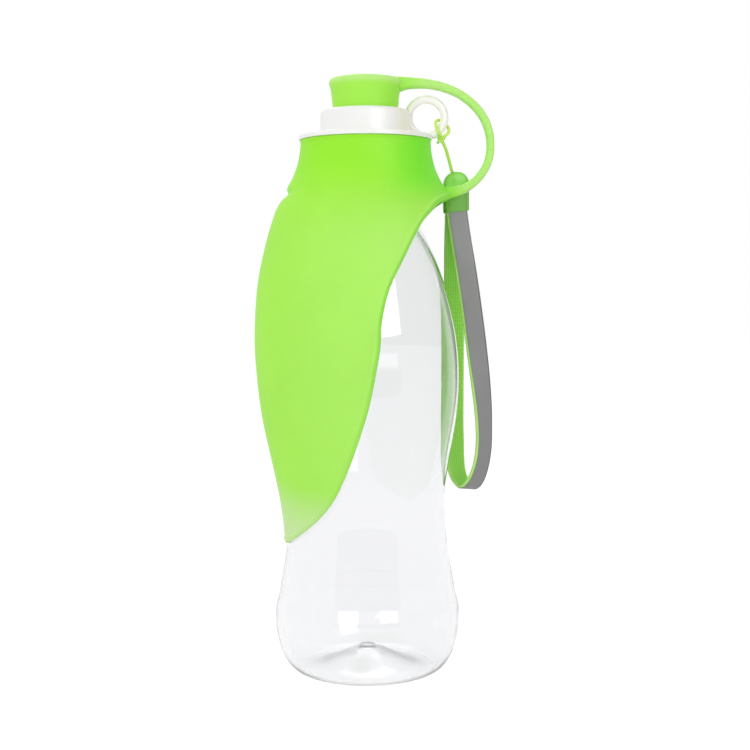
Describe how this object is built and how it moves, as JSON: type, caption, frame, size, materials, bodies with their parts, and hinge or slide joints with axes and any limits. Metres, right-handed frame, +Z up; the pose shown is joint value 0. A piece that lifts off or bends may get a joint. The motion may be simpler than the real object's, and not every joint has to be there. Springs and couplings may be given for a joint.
{
  "type": "dog travel water bottle",
  "caption": "Clear hourglass bottle with a screw cap, a fold-down leaf-shaped silicone drinking bowl on a collar, a tethered stopper and a wrist strap on the cap's ring.",
  "frame": {"origin": "centre of the bottle's base, on the surface that it stands on", "axes": "+Z up along the bottle's axis; the bowl hangs on the -X side, the tether and the strap on the +X side"},
  "size_m": [0.0974, 0.0898, 0.239],
  "materials": {
    "bottle_clear": "clear, glossy",
    "cap_white": "satin moulded",
    "seal_pale": "matte",
    "silicone_green": "soft matte silicone",
    "cord_lime": "braided cord",
    "clamp_green": "translucent, glossy",
    "webbing_green": "ribbed woven ribbon",
    "tape_grey": "reflective tape"
  },
  "bodies": {
    "bottle": {"bottle_body": "bottle_clear"},
    "seal": {"cap_seal": "seal_pale"},
    "top": {"screw_cap": "cap_white", "bowl_collar": "silicone_green", "stopper_tether": "silicone_green", "cord_loop": "cord_lime", "cord_knot": "cord_lime"},
    "leaf": {"bowl_leaf": "silicone_green"},
    "stopper": {"stopper_plug": "silicone_green"},
    "strap": {"lanyard_cord": "cord_lime", "lanyard_clamp": "clamp_green", "strap_webbing": "webbing_green", "reflective_tape": "tape_grey"}
  },
  "joints": [
    {"name": "cap_lift", "type": "slide", "parent": "bottle", "child": "seal", "axis": [0, 0, 1], "range_m": [0, 0.0061]},
    {"name": "cap_turn", "type": "hinge", "parent": "seal", "child": "top", "pos_m": [0, 0, 0.21], "axis": [0, 0, 1], "range_deg": [0, 540]},
    {"name": "leaf_fold", "type": "hinge", "parent": "top", "child": "leaf", "pos_m": [-0.0313, 0, 0.1919], "axis": [0, 1, 0], "range_deg": [0, 100]},
    {"name": "stopper_pull", "type": "slide", "parent": "top", "child": "stopper", "axis": [0, 0, 1], "range_m": [0, 0.015], "deforming": ["stopper_tether"]},
    {"name": "strap_swing", "type": "hinge", "parent": "top", "child": "strap", "pos_m": [0.0303, 0.0003, 0.214], "axis": [0, -1, 0], "range_deg": [0, 90]}
  ],
  "couplings": [
    {"joint": "cap_lift", "follows": "cap_turn", "m_per_rad": 0.00063662}
  ]
}
